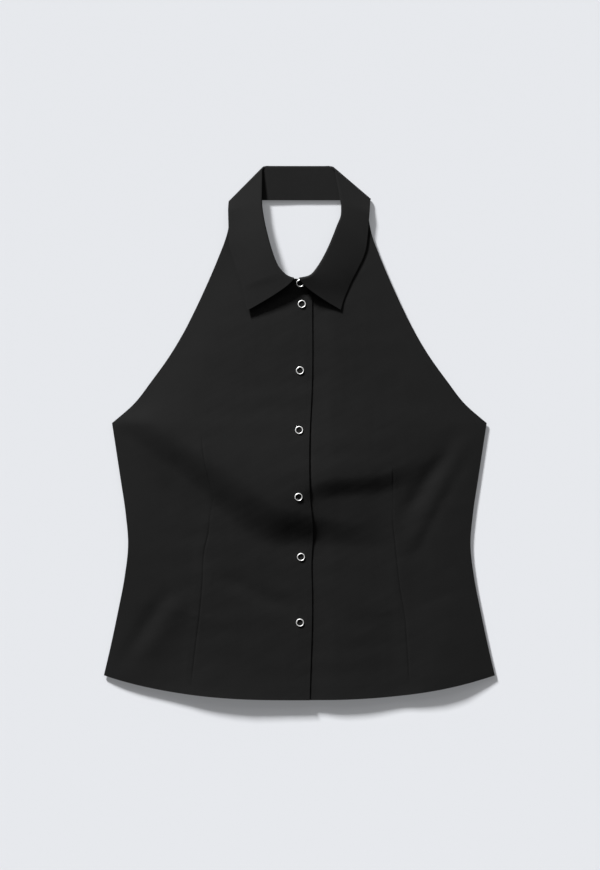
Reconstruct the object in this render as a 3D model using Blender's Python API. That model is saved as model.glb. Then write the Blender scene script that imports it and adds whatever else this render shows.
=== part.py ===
"""A black halter neck top with a shirt collar and a snapped front, lying flat on a table, front up.

Seen from above, +X is to the right, +Y runs from the hem to the collar and +Z is up from the table.
The origin is on the table under the middle of the garment.  All sizes below are in millimetres.

The two fronts are closed sheets over one form: low over the waist, raised over the bust, with a long
slanting step between the two.  The back lies flat under them and meets them at the side seams.  The
collar is one strip of stand and fall that runs from the centre front up each side of the neck, folds
under along a slanting line beside the neck and crosses behind it as the halter band.
"""

import math

import bmesh
import bpy
import numpy as np
from mathutils import Matrix, Vector

MM = 0.001
CLOTH = 1.2  # wall of every cloth piece
GAP = 0.3  # clearance where two pieces lie on each other
SEAM_GAP = 0.6  # clearance in plan where two edges are sewn together

# Looks: colour, roughness, metallic.
COTTON = ((0.018, 0.018, 0.019), 0.85, 0.0)
BRIGHT_STEEL = ((0.78, 0.78, 0.77), 0.22, 1.0)
DULL_STEEL = ((0.45, 0.45, 0.44), 0.4, 1.0)
CREASE_ANGLE = 40.0  # edges sharper than this are drawn as edges


def table(columns, *rows):
    """A table with named columns, each an array."""
    return dict(zip(columns.split(), np.array(rows, float).T))


# Outline, half of it: the two sides mirror each other.
HEM_Y, HEM_RISE, HEM_POWER = -297.0, 27.0, 2.6  # lowest at the centre front, rising to the side seams
UNDERARM_Y = 10.0
SIDE = table(
    "y half_width",
    (-270, 217), (-240, 210), (-200, 201.5), (-160, 193.8), (-125, 190), (-90, 192.8), (-50, 198.8),
    (10, 208),
)
ARMHOLE = table(
    "y half_width",
    (10, 208), (30, 185), (57, 163.7), (83, 145), (110, 128.7), (137, 115), (166, 101.6), (192, 90.5),
    (219, 80.5), (250, 75),
)
NECKLINE = table("x y", (0, 152), (20, 155), (39, 165), (55, 184), (66.5, 212), (75, 250))
NECK_DIP = 3.0 / 20**2  # the neckline's curve across the placket
PLACKET_SHARE = 0.3  # share of the neckline that holds the placket's columns

# The placket: the edge of the upper front, and the lap of the lower front under it.
PLACKET_EDGE = table(
    "y x",
    (-297, 11.3), (-180, 14), (-147, 13.3), (-110, 15), (-70, 11.6), (-25, 10.8), (60, 14), (154, 14),
)
PLACKET_COLUMNS = (-26, -22, -13, -5, 0)  # grid lines of the placket, from its free edge
LAP_BLEND = 28.0  # how far beyond the edge the lower front takes to come up level
STUD_ROOM = 2.0  # extra room between the layers for the snap studs
STUD_ROOM_X = (8.0, 13.0)  # full inside the first distance from the centre, none past the second
STUD_ROOM_Y = (-275.0, -230.0)  # and none at the hem

# The back: how far its top edge dips and its hem stops short of the fronts', flat across the middle.
BACK_TOP_DIP = 18.0
BACK_HEM_SHORT, BACK_HEM_POWER = 2.0, 8

# Heights of the upper face.
CROWN = table(
    "y bust",
    (-140, 20), (-60, 20), (-20, 17.6), (20, 14.4), (60, 12.3), (100, 11.6), (150, 10.2), (180, 8.6),
    (215, 6.3), (250, 4.2),
)
BODY = table("y waist", (-297, 7.4), (-230, 6.8), (-180, 6.6), (-128, 6.6), (-60, 6.6), (10, 6.8))
HEM_FLARE, HEM_FLARE_REACH = 1.6, 16.0  # the hem stands up a little
ARMHOLE_EDGE = table("y height", (10, 2.7), (40, 3.5), (140, 3.7), (250, 4.2))
SEAM_EDGE = 2.0 * CLOTH + GAP  # front on back
PROBE = 1.0  # reach of the slope measurements
SEAM_LIFT = table("y lift", (-270, 0.4), (-215, 0.4), (-125, 2), (-50, 0.6), (10, 0))
SEAM_LIFT_REACH = 28.0  # how far in from the seam the back's sides begin to curl up
BODY_REACH = 40.0  # how far the edge's height fades into the body's
FLANKS = {-1: (0.66, 34.0), 1: (0.10, 28.0)}  # each side: share of the bust's rise near the edge, and reach
ARMHOLE_SLANT = 0.8  # distance to the slanting armhole over distance across

# The step from the bust down to the waist, across the garment: its brow, the middle of its steep core and
# the core's half width, and its foot.  On the wearer's left an upper core takes its share first.
STEP = table(
    "x brow core core_half foot upper_core upper_half upper_foot upper_share",
    (-190, 26, 10, 15, -12, 10, 12, -12, 0),
    (-172, 17, -4, 18, -40, -5, 12, -40, 0),
    (-155, 9, -13, 20, -74, -14, 12, -74, 0),
    (-137, 1, -24, 22, -66, -24, 12, -62, 0),
    (-119, -10, -38, 23, -78, -37, 12, -74, 0),
    (-101, -20, -52, 24, -90, -50, 12, -84, 0),
    (-84, -26, -65, 28, -104, -50, 12, -80, 0),
    (-66, -32, -80, 30, -124, -55, 12, -80, 0),
    (-48, -36, -92, 30, -132, -62, 12, -80, 0),
    (-30, -40, -102, 25, -138, -64, 12, -80, 0),
    (0, -42, -106, 21, -138, -66, 12, -82, 0.08),
    (22, -44, -109, 18, -136, -64, 12, -80, 0.35),
    (40, -44, -111, 16, -130, -61, 12, -76, 0.5),
    (58, -42, -113, 15, -128, -60, 12, -77, 0.56),
    (76, -35, -113, 15, -128, -59, 12, -77, 0.64),
    (94, -29, -112, 15, -126, -56, 12, -85, 0.8),
    (111, -21, -108, 15, -124, -50, 14, -100, 0.92),
    (129, -12, -104, 15, -120, -44, 16, -98, 1),
    (147, -3, -100, 15, -116, -37, 15, -68, 1),
    (165, 6, -96, 15, -112, -23, 13, -44, 1),
    (178, 12, -96, 15, -112, -12, 12, -27, 1),
    (192, 20, -96, 15, -112, 0, 12, -14, 1),
)
CORE_SHARE = 0.72  # of the step, the rest falls evenly from brow to foot

# The largest folds: height of the ridge (a trough is below nought), its half width, and its line.
FOLDS = (
    (-1.6, 12, ((-166, -25), (-142, -79), (-122, -116), (-104, -152))),
    (-2.4, 9, ((-204, -262), (-182, -232), (-166, -206), (-142, -174))),
    (1.2, 12, ((-182, -256), (-156, -226), (-136, -196), (-118, -176))),
    (-1.2, 10, ((-95, -156), (-60, -172), (-36, -184), (-2, -198))),
    (-2.2, 9, ((175, 2), (164, -23), (145, -48), (129, -73), (112, -100))),
    (1.2, 12, ((181, -5), (166, -46), (155, -68), (135, -104), (112, -137))),
    (-1.2, 7, ((198, -11), (176, -48), (154, -86), (132, -131), (118, -142))),
    (3.0, 34, ((168, -340), (168, -283), (158, -236), (140, -190))),
    (-2.6, 40, ((-150, -340), (-150, -283), (-140, -236), (-130, -200))),
    (-1.6, 26, ((104, -330), (104, -290), (100, -250), (96, -200))),
)
FOLD_TAPER = 0.7

# The collar's front, by the share of the neckline from the centre front to the halter tip.  Roll is the
# line over which the fall turns, top the height of that turn, radius its bend; edge is the fall's free
# edge and lift its height above the front below.
COLLAR_COLUMNS = "along roll_x roll_y edge_x edge_y top radius lift"
COLLAR_RIGHT = table(
    COLLAR_COLUMNS,
    (0.06, 6, 170.6, 57.9, 134.2, 19.6, 1.6, 5.0),
    (0.12, 9.7, 171.6, 60, 145, 19.2, 1.6, 5.0),
    (0.30, 18.5, 177.8, 63.4, 160.5, 18, 1.6, 4.4),
    (0.43, 24.1, 185.6, 66.5, 171, 17, 1.6, 3.6),
    (0.58, 30.2, 201.7, 71.5, 187, 15.2, 1.6, 2.4),
    (0.73, 35.2, 220, 77.3, 206, 12.8, 1.6, 1.2),
    (0.92, 39.6, 241, 78.6, 232, 9.9, 1.6, 0.4),
    (1.0, 41, 251, 79, 246, 9.2, 1.6, 0.2),
)
COLLAR_LEFT = table(
    COLLAR_COLUMNS,
    (0.0, -0.4, 170.6, 45.6, 135.4, 21.8, 4.9, 1.2),
    (0.12, 10, 173, 48.6, 146, 20, 3.8, 1.0),
    (0.30, 19.2, 182.3, 53.5, 158, 17.8, 2.6, 0.8),
    (0.43, 26, 193.4, 58, 168.5, 16, 1.9, 0.6),
    (0.58, 33.5, 209, 64.5, 181, 14.2, 1.6, 0.6),
    (0.73, 41, 228, 72, 197.5, 12.2, 1.6, 0.5),
    (0.92, 46, 243, 76, 222, 10, 1.6, 0.3),
    (1.0, 46, 252, 78, 245, 9.2, 1.6, 0.2),
)
FRONT_BEND = {"right": (11.5, 162.5), "left": (6.5, 157.2)}  # pulls the fall's front edge towards the centre
FRONT_BEND_END = 0.3  # share of the neckline over which that pull fades
END_STEP = 0.03  # share of the neckline from the fall's end to its second cut
FALL_BOW = 1.2  # crown of the fall between its roll and its free edge
FALL_BOW_FLAT, FALL_BOW_FULL = 5.4, 3.0  # height of a free edge with no crown, and how far off it is full
INNER_LEG = 4.5  # the fall's seam allowance inside the roll, in line with the stand
STAND_ENDS = {  # free ends of the stand: share of the neckline, and depth of the rounded top edge
    "right": ((-0.067, 9.5), (-0.045, 5), (0, 1.4), (0.031, 0.6), (0.04, 6.4)),
    "left": ((-0.067, 9.5), (-0.045, 5), (-0.03, 1.8), (-0.02, 1.2), (-0.0123, 8.2)),
}
STAND_END_TOP = 170.8

# The fold beside the neck: the strip turns under a line of constant X + Y.
FOLD_LINE = 331.0
FOLD_RADIUS = 2.75
AXIS_OUTER, AXIS_ROLL = 3.0, 4.7  # height of the turn's axis at the strip's outer edge and at its roll
TURN_TOP = 9.2  # top of the roll there
STRAP_ROLL_X, STRAP_FALL_X, STRAP_STAND_X = 40.5, 78.4, 79.0  # the strip's edges past the fold
TURN_ROLL_X = 41.0
STRAP_OUT = 4.0  # how far past the fold the strip's cuts come level

# Snaps: ring caps on the upper layer, studs between the layers.
SNAPS = table("x y", (1.8, 143.7), (-0.2, 70.2), (-1.2, 4.2), (-1.9, -69.3), (0.9, -136.3), (-0.2, -209))
STAND_SNAP = (0.1, 11.6)  # across, and up the stand from its seam
RING_RADIUS, RING_WIRE = 3.85, 0.9
RING_CLEAR = 0.4  # ring above the cloth
STUD_RADIUS, STUD_THICKNESS = 3.8, 1.0

# Grid counts.
SIDE_ROWS, ARMHOLE_ROWS = 22, 14
PANEL_COLUMNS = 12
FALL_STEPS, ROLL_STEPS = 5, 5
FAN_STEPS, TURN_STEPS, OUT_STEPS, STRAP_STEPS = 4, 6, 3, 3
BACK_ROWS, BACK_COLUMNS = 14, 16
STAND_ROWS = 3
RING_SECTION, RING_STEPS, STUD_SIDES = 8, 14, 14
WELD = 0.01  # points this close are one
NECK_SAMPLES = 61


def smooth(x, xs, ys):
    """Cubic curve through a table's rows, level beyond its ends."""
    tangents = np.gradient(ys, xs)
    x = np.clip(x, xs[0], xs[-1])
    row = np.clip(np.searchsorted(xs, x) - 1, 0, len(xs) - 2)
    span = xs[row + 1] - xs[row]
    t = (x - xs[row]) / span
    return (
        (2 * t**3 - 3 * t**2 + 1) * ys[row]
        + (t**3 - 2 * t**2 + t) * span * tangents[row]
        + (3 * t**2 - 2 * t**3) * ys[row + 1]
        + (t**3 - t**2) * span * tangents[row + 1]
    )


def read(rows, key, value, at):
    return smooth(at, rows[key], rows[value])


def ramp(low, high, x):
    """Soft step from 0 at low to 1 at high."""
    t = np.clip((x - low) / (high - low), 0, 1)
    return t * t * (3 - 2 * t)


def half_width(y):
    return np.where(y < UNDERARM_Y, read(SIDE, "y", "half_width", y), read(ARMHOLE, "y", "half_width", y))


def hem_y(x):
    return HEM_Y + HEM_RISE * (np.abs(x) / SIDE["half_width"][0]) ** HEM_POWER


def neck_y(x):
    return NECKLINE["y"][0] + NECK_DIP * x * x


def neck_point(along):
    """Point of the neckline at a share of its length from the centre front; below nought it runs past it."""
    steps = np.hypot(np.diff(NECKLINE["x"]), np.diff(NECKLINE["y"]))
    length = np.concatenate([[0], np.cumsum(steps)])
    x = smooth(np.abs(along) * length[-1], length, NECKLINE["x"]) * np.sign(along)
    y = smooth(np.abs(along) * length[-1], length, NECKLINE["y"])
    return np.stack([x, np.where(np.abs(x) < NECKLINE["x"][1], neck_y(x), y)], axis=-1)


def distance_along(path, x, y):
    """Distance from each point to a line of points, and the share of the line's length at its foot."""
    path = np.array(path, float)
    lengths = np.hypot(*np.diff(path, axis=0).T)
    starts = np.concatenate([[0], np.cumsum(lengths)])
    nearest = np.full(np.shape(x), np.inf)
    share = np.zeros(np.shape(x))
    for (ax, ay), (bx, by), length, start in zip(path[:-1], path[1:], lengths, starts):
        t = np.clip(((x - ax) * (bx - ax) + (y - ay) * (by - ay)) / length**2, 0, 1)
        distance = np.hypot(x - ax - t * (bx - ax), y - ay - t * (by - ay))
        closer = distance < nearest
        share = np.where(closer, (start + t * length) / starts[-1], share)
        nearest = np.where(closer, distance, nearest)
    return nearest, share


def seam_lift(y):
    return read(SEAM_LIFT, "y", "lift", y)


def inset(x, y):
    """Distance in from the outline."""
    slant = 1 - (1 - ARMHOLE_SLANT) * ramp(UNDERARM_Y - 20, UNDERARM_Y + 40, y)
    return np.maximum(half_width(y) - np.abs(x), 0) * slant


def step(x, y):
    """1 on the bust, 0 on the waist below it."""
    brow, core, half, foot, upper_core, upper_half, upper_foot, share = (
        smooth(x, STEP["x"], rows) for name, rows in STEP.items() if name != "x"
    )
    lower = CORE_SHARE * ramp(core - half, core + half, y) + (1 - CORE_SHARE) * ramp(foot, brow, y)
    upper = CORE_SHARE * ramp(upper_core - upper_half, upper_core + upper_half, y)
    upper = upper + (1 - CORE_SHARE) * ramp(upper_foot, brow, y)
    return share * upper + (1 - share) * lower


def flank(x, y):
    """How far the bust has come up, from 0 at the outline to 1 at the middle."""
    d, middle = inset(x, y), inset(0 * x, y)
    risen = 0
    for sign, (share, reach) in FLANKS.items():
        at_once = np.tanh(d / reach) / np.tanh(middle / reach)
        side = share * at_once + (1 - share) * ramp(0, 1, d / middle)
        risen = risen + side * ramp(-20, 20, sign * x)
    return risen


def front_height(x, y):
    """Upper face of the fronts."""
    edge = np.where(y < UNDERARM_Y, SEAM_EDGE + seam_lift(y), read(ARMHOLE_EDGE, "y", "height", y))
    middle = inset(0 * x, y)
    low = (1 - np.exp(-inset(x, y) / BODY_REACH)) / (1 - np.exp(-middle / BODY_REACH))
    bust = step(x, y)
    height = edge
    height = height + (read(BODY, "y", "waist", y) - edge) * low * (1 - bust)
    height = height + (read(CROWN, "y", "bust", y) - edge) * flank(x, y) * bust
    for rise, width, path in FOLDS:
        distance, share = distance_along(path, x, y)
        taper = np.sin(math.pi * np.clip(share, 0, 1)) ** FOLD_TAPER
        height = height + rise * np.exp(-((distance / width) ** 2)) * taper * low
    return height + HEM_FLARE * np.exp(-(y - hem_y(x)) / HEM_FLARE_REACH) * low


def slopes(x, y):
    """Slopes of the fronts, across and along."""
    across = front_height(x + PROBE, y) - front_height(x - PROBE, y)
    along = front_height(x, y + PROBE) - front_height(x, y - PROBE)
    return across / (2 * PROBE), along / (2 * PROBE)


def wall(x, y):
    """Vertical thickness of a front, so that it measures CLOTH square to its slope."""
    slope_x, slope_y = slopes(x, y)
    return CLOTH * np.sqrt(1 + slope_x**2 + slope_y**2)


def placket_edge(y):
    return read(PLACKET_EDGE, "y", "x", y)


def stud_room(x, y):
    return STUD_ROOM * (1 - ramp(*STUD_ROOM_X, np.abs(x))) * ramp(*STUD_ROOM_Y, y)


def lap_height(x, y):
    """Upper face of the lower front, which passes under the placket."""
    edge = placket_edge(y)
    under = 1 - ramp(0, LAP_BLEND, x - edge - GAP)
    return front_height(x, y) - (wall(x, y) + GAP + stud_room(x, y)) * under


def material(name, color, roughness, metallic):
    made = bpy.data.materials.new(name)
    made.use_nodes = True
    shader = made.node_tree.nodes["Principled BSDF"]
    shader.inputs["Base Color"].default_value = (*color, 1)
    shader.inputs["Roughness"].default_value = roughness
    shader.inputs["Metallic"].default_value = metallic
    return made


def sheet(name, top, bottom):
    """Closed sheet between two grids of points."""
    rows, columns = top.shape[:2]
    mesh = bmesh.new()
    upper = [[mesh.verts.new(Vector(point) * MM) for point in row] for row in top]
    lower = [[mesh.verts.new(Vector(point) * MM) for point in row] for row in bottom]
    for i in range(rows - 1):
        for j in range(columns - 1):
            mesh.faces.new((upper[i][j], upper[i + 1][j], upper[i + 1][j + 1], upper[i][j + 1]))
            mesh.faces.new((lower[i][j], lower[i][j + 1], lower[i + 1][j + 1], lower[i + 1][j]))
    for i in range(rows - 1):
        for j in (0, columns - 1):
            mesh.faces.new((upper[i][j], upper[i + 1][j], lower[i + 1][j], lower[i][j]))
    for j in range(columns - 1):
        for i in (0, rows - 1):
            mesh.faces.new((upper[i][j], upper[i][j + 1], lower[i][j + 1], lower[i][j]))
    bmesh.ops.recalc_face_normals(mesh, faces=mesh.faces)
    finished(name, mesh, COTTON)


def finished(name, mesh, look):
    data = bpy.data.meshes.new(name)
    mesh.to_mesh(data)
    mesh.free()
    data.shade_smooth()
    data.set_sharp_from_angle(angle=math.radians(CREASE_ANGLE))
    data.materials.append(material(name, *look))
    made = bpy.data.objects.new(name, data)
    bpy.context.collection.objects.link(made)
    return made


def patch(low, high, near, far):
    """Grid between four edges that share their corners."""
    u = np.linspace(0, 1, len(low))[None, :, None]
    v = np.linspace(0, 1, len(near))[:, None, None]
    across = (1 - u) * near[:, None] + u * far[:, None]
    along = (1 - v) * low[None] + v * high[None]
    corners = (1 - v) * ((1 - u) * low[0] + u * low[-1]) + v * ((1 - u) * high[0] + u * high[-1])
    return across + along - corners


def placket_grid():
    """Plan of the placket, which both fronts share: rows from hem to neck, columns to the free edge."""
    rows = np.linspace(0, 1, SIDE_ROWS + ARMHOLE_ROWS + 1)
    grid = np.zeros((len(rows), len(PLACKET_COLUMNS), 2))
    for j, column in enumerate(PLACKET_COLUMNS):
        x = placket_edge(HEM_Y + rows * (NECKLINE["y"][0] - HEM_Y)) + column
        grid[:, j, 0] = x
        grid[:, j, 1] = hem_y(x) + rows * (neck_y(x) - hem_y(x))
    return grid


def side_run(sign):
    """The outline from the hem's corner over the underarm to the halter tip."""
    low = np.linspace(SIDE["y"][0], UNDERARM_Y, SIDE_ROWS + 1)
    high = UNDERARM_Y + (ARMHOLE["y"][-1] - UNDERARM_Y) * np.linspace(0, 1, ARMHOLE_ROWS + 1)[1:]
    y = np.concatenate([low, high])
    return np.stack([sign * half_width(y), y], axis=-1)


def neck_share(x):
    """Share of the neckline at a distance from the centre front."""
    shares = np.linspace(0, PLACKET_SHARE, NECK_SAMPLES)
    return np.interp(x, neck_point(shares)[:, 0], shares)


def neck_shares(first_x):
    """Shares of the neckline where a front's columns meet it, from its placket column out."""
    return np.linspace(neck_share(first_x), 1, PANEL_COLUMNS + 1)


def front_plan(sign):
    """Plan of one front: its own panel and the placket, columns running from -X to +X."""
    placket = placket_grid()
    inner = placket[:, 0] if sign < 0 else placket[:, -1]
    outer = side_run(sign)
    hem_x = np.linspace(outer[0, 0], inner[0, 0], PANEL_COLUMNS + 1)
    hem = np.stack([hem_x, hem_y(hem_x)], axis=-1)
    neck = (neck_point(neck_shares(abs(inner[-1, 0]))) * (sign, 1))[::-1]
    neck[-1] = inner[-1]
    panel = patch(hem, neck, outer, inner)
    if sign < 0:
        return np.concatenate([panel[:, :-1], placket], axis=1)
    return np.concatenate([placket, panel[:, ::-1][:, 1:]], axis=1)


def front(name, sign, height):
    plan = front_plan(sign)
    x, y = plan[..., 0], plan[..., 1]
    top = height(x, y)
    sheet(name, np.dstack([x, y, top]), np.dstack([x, y, top - wall(x, y)]))


def back():
    """The back lies on the table; its sides curl up to the side seams, and its top edge dips a little."""
    across = np.sin(np.linspace(-1, 1, BACK_COLUMNS + 1) * math.pi / 2)
    rows = np.linspace(0, 1, BACK_ROWS + 1)[:, None]
    y = SIDE["y"][0] + rows * (UNDERARM_Y - SIDE["y"][0])
    x = half_width(y) * across[None]
    bottom_y = hem_y(x[:1]) + BACK_HEM_SHORT * (1 - across[None] ** BACK_HEM_POWER)
    top_y = UNDERARM_Y - BACK_TOP_DIP * (1 - across[None] ** 2)
    y = bottom_y + rows * (top_y - bottom_y)
    x = half_width(y) * across[None]
    curl = seam_lift(y) * (1 - ramp(0, SEAM_LIFT_REACH, inset(x, y)))
    sheet("back", np.dstack([x, y, curl + CLOTH]), np.dstack([x, y, curl]))


def unit(vector):
    return vector / np.linalg.norm(vector, axis=-1, keepdims=True)


def fold_under(points, share):
    """Carries a strip laid out flat past the fold line round it and back underneath.

    Share is 0 at the strip's outer edge and 1 at its roll.
    """
    axis = AXIS_OUTER + (AXIS_ROLL - AXIS_OUTER) * share
    x, y, z = points.T
    past = (x + y - FOLD_LINE) / math.sqrt(2)
    across = (y - x) / math.sqrt(2)
    angle = np.clip(past / FOLD_RADIUS, 0, math.pi)
    run = np.where(past < 0, past, 0) - np.maximum(past - math.pi * FOLD_RADIUS, 0)
    out = run + (z - axis) * np.sin(angle)
    foot = FOLD_LINE / math.sqrt(2) + out
    return np.stack(
        [(foot - across) / math.sqrt(2), (foot + across) / math.sqrt(2), axis + (z - axis) * np.cos(angle)],
        axis=-1,
    )


class Station:
    """One cut across the collar strip, laid out flat, with X measured out from the centre."""

    def __init__(self, seam, seam_z, roll, edge, edge_z, top, radius, bend):
        self.seam = np.array(seam, float)
        self.seam_z = seam_z
        self.edge = np.array(edge, float)
        self.edge_z = edge_z
        self.radius = radius
        self.high = top - CLOTH / 2
        self.low = self.high - 2 * radius
        self.bend = np.array(bend, float)
        self.inward = unit(self.seam - np.array(roll, float))
        self.roll = np.array(roll, float) + self.inward * CLOTH / 2
        self.bow = FALL_BOW * min(1, abs(edge_z - FALL_BOW_FLAT) / FALL_BOW_FULL)

    def stand_line(self, distance):
        """Points of the stand, or of the fall's inner leg, at distances in from the roll."""
        distance = np.asarray(distance, float)
        length = np.linalg.norm(self.seam - self.roll) - SEAM_GAP
        share = np.clip((distance - self.radius) / (length - self.radius), 0, None)
        plan = self.roll + np.outer(distance, self.inward)
        z = self.low + (self.seam_z - self.low) * share
        return np.column_stack([plan, z]), 1 - distance / length

    def stand(self, depth):
        """From the top edge, at a depth below the roll, to the neck seam."""
        length = np.linalg.norm(self.seam - self.roll) - SEAM_GAP
        return self.stand_line(np.linspace(depth, length, STAND_ROWS + 1))

    def fall(self):
        """From the free edge over the roll to the end of the inner leg."""
        outward = unit(self.bend - self.roll)
        start = self.roll + outward * self.radius
        t = np.linspace(1, 0, FALL_STEPS + 1)[:, None]
        plan = (1 - t) ** 2 * start + 2 * t * (1 - t) * self.bend + t**2 * self.edge
        z = self.high + (self.edge_z - self.high) * t + 4 * self.bow * t * (1 - t)
        leaf = np.column_stack([plan, z])
        angles = np.linspace(math.pi / 2, -math.pi / 2, ROLL_STEPS + 1)[1:, None]
        blend = (1 - np.sin(angles)) / 2
        turn = unit(outward * (1 - blend) + self.inward * blend)
        around = self.roll + turn * self.radius * (1 - np.cos(angles))
        round_z = self.low + self.radius * (1 + np.sin(angles))
        leg, leg_share = self.stand_line([self.radius + INNER_LEG])
        reach = np.linalg.norm(self.edge - self.roll)
        leaf_share = 1 - np.linalg.norm(plan - self.roll, axis=1) / reach
        turn_share = 1 - np.linalg.norm(around - self.roll, axis=1) / reach
        points = np.vstack([leaf, np.column_stack([around, round_z]), leg])
        return points, np.concatenate([leaf_share, turn_share, leg_share])


def front_station(rows, along, seam_height, bend):
    """A station on the neckline, at a share of its length."""
    roll = [read(rows, "along", name, along) for name in ("roll_x", "roll_y")]
    edge = [read(rows, "along", name, along) for name in ("edge_x", "edge_y")]
    seam = neck_point(np.array(along))
    edge_z = front_height(*edge) + GAP + CLOTH / 2 + read(rows, "along", "lift", along)
    pull = max(0.0, 1 - (along - rows["along"][0]) / (FRONT_BEND_END - rows["along"][0]))
    first_roll = np.array([rows["roll_x"][0], rows["roll_y"][0]])
    first_edge = np.array([rows["edge_x"][0], rows["edge_y"][0]])
    middle = (np.array(roll) + edge) / 2
    control = middle + pull * (np.array(bend) - (first_roll + first_edge) / 2)
    top = read(rows, "along", "top", along)
    radius = read(rows, "along", "radius", along)
    seam_z = seam_height(*seam) - CLOTH / 2
    return Station(seam, seam_z, roll, edge, edge_z, top, radius, control)


def strip_station(seam, roll, edge):
    """A station past the halter tip, where the strip is free of the front."""
    layer = CLOTH + GAP
    seam_z = AXIS_OUTER + layer / 2
    edge_z = seam_z + layer
    middle = (np.array(roll) + edge) / 2
    radius = (TURN_TOP - AXIS_ROLL - CLOTH - GAP / 2) / 2
    return Station(seam, seam_z, roll, edge, edge_z, TURN_TOP, radius, middle)


def free_stations(rows):
    """Stations from the halter tip through the fold to the middle of the back neck."""
    start = np.array([[NECKLINE["x"][-1], NECKLINE["y"][-1]],
                      [rows["roll_x"][-1], rows["roll_y"][-1]],
                      [rows["edge_x"][-1], rows["edge_y"][-1]]])
    turn_x = np.array([start[0, 0], TURN_ROLL_X, start[2, 0]])
    strap_x = np.array([STRAP_STAND_X, STRAP_ROLL_X, STRAP_FALL_X])
    rise = math.pi * FOLD_RADIUS * math.sqrt(2)
    turn = np.column_stack([turn_x, FOLD_LINE - turn_x])
    turned = np.column_stack([strap_x, FOLD_LINE - strap_x + rise])
    level = turned[1, 1] + STRAP_OUT
    strap = np.column_stack([strap_x, np.full(3, level)])
    middle_y = FOLD_LINE + math.pi * FOLD_RADIUS / math.sqrt(2)
    middle = np.column_stack([strap_x, np.full(3, middle_y)])
    legs = ((start, turn, FAN_STEPS), (turn, turned, TURN_STEPS), (turned, strap, OUT_STEPS),
            (strap, middle, STRAP_STEPS))
    stations = []
    for begin, end, steps in legs:
        for k in range(1, steps + 1):
            stations.append(strip_station(*(begin + (end - begin) * k / steps)))
    return stations


def collar_half(side, rows, seam_height, first_x):
    """Points of one half of the strip, from the centre front to the middle of the back neck."""
    sign = -1 if side == "right" else 1
    bend = FRONT_BEND[side]
    first = rows["along"][0]
    shares = [share for share in neck_shares(first_x) if share > first + END_STEP]
    fall_shares = [first, first + END_STEP] + shares
    falls, stands = [], []

    def placed(points_and_share):
        points, share = points_and_share
        return fold_under(points, np.clip(share, 0, 1)) * (sign, 1, 1)

    def seam(x, y):
        return seam_height(sign * x, y)

    def station(share):
        made = front_station(rows, max(share, first), seam, bend)
        if share < first:
            at = neck_point(np.array(share))
            roll = np.array([at[0], STAND_END_TOP])
            return Station(at, seam(*at) - CLOTH / 2, roll, made.edge, made.edge_z, made.high + CLOTH / 2,
                           made.radius, made.bend)
        return made

    for share in fall_shares:
        falls.append(placed(station(share).fall()))
    for share, depth in STAND_ENDS[side]:
        stands.append(placed(station(share).stand(depth)))
    for share in fall_shares:
        made = station(share)
        stands.append(placed(made.stand(made.radius + INNER_LEG + GAP)))
    for made in free_stations(rows):
        falls.append(placed(made.fall()))
        stands.append(placed(made.stand(made.radius + INNER_LEG + GAP)))
    return falls, stands


def thick(name, middle):
    """Closed sheet of the cloth's thickness about a grid of points."""
    def directions(grid):
        chords = unit(np.diff(grid, axis=0))
        ends = np.concatenate([chords[:1], chords, chords[-1:]])
        return ends[:-1] + ends[1:]

    along = directions(middle)
    across = directions(middle.swapaxes(0, 1)).swapaxes(0, 1)
    out = unit(np.cross(along, across)) * CLOTH / 2
    sheet(name, middle + out, middle - out)


def collar():
    right = collar_half("right", COLLAR_RIGHT, front_height, abs(placket_grid()[-1, 0, 0]))
    left = collar_half("left", COLLAR_LEFT, lap_height, placket_grid()[-1, -1, 0])
    for name, ours, theirs in zip(("collar_fall", "collar_stand"), right, left):
        thick(name, np.array(ours + theirs[::-1][1:]))


def snap(number, x, y, normal, surface):
    """Ring cap on the cloth and stud between the layers, both square to the cloth."""
    turn = normal.to_track_quat("Z", "Y").to_matrix().to_4x4()
    at = Vector((x, y, surface))

    ring = bmesh.new()
    circle = [
        ring.verts.new(((RING_RADIUS + RING_WIRE * math.cos(a)) * MM, 0, RING_WIRE * math.sin(a) * MM))
        for a in (2 * math.pi * k / RING_SECTION for k in range(RING_SECTION))
    ]
    edges = [ring.edges.new((circle[k - 1], circle[k])) for k in range(RING_SECTION)]
    bmesh.ops.spin(
        ring, geom=circle + edges, cent=(0, 0, 0), axis=(0, 0, 1), angle=2 * math.pi, steps=RING_STEPS,
        use_merge=True,
    )
    bmesh.ops.remove_doubles(ring, verts=ring.verts, dist=WELD * MM)
    bmesh.ops.recalc_face_normals(ring, faces=ring.faces)
    above = at + normal * (RING_WIRE + RING_CLEAR)
    finished(f"snap_ring_{number}", ring, BRIGHT_STEEL).matrix_world = Matrix.Translation(above * MM) @ turn

    stud = bmesh.new()
    bmesh.ops.create_cone(
        stud, cap_ends=True, segments=STUD_SIDES, radius1=STUD_RADIUS * MM, radius2=STUD_RADIUS * MM,
        depth=STUD_THICKNESS * MM,
    )
    below = at - normal * (CLOTH + GAP + STUD_THICKNESS / 2)
    finished(f"snap_stud_{number}", stud, DULL_STEEL).matrix_world = Matrix.Translation(below * MM) @ turn


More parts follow.
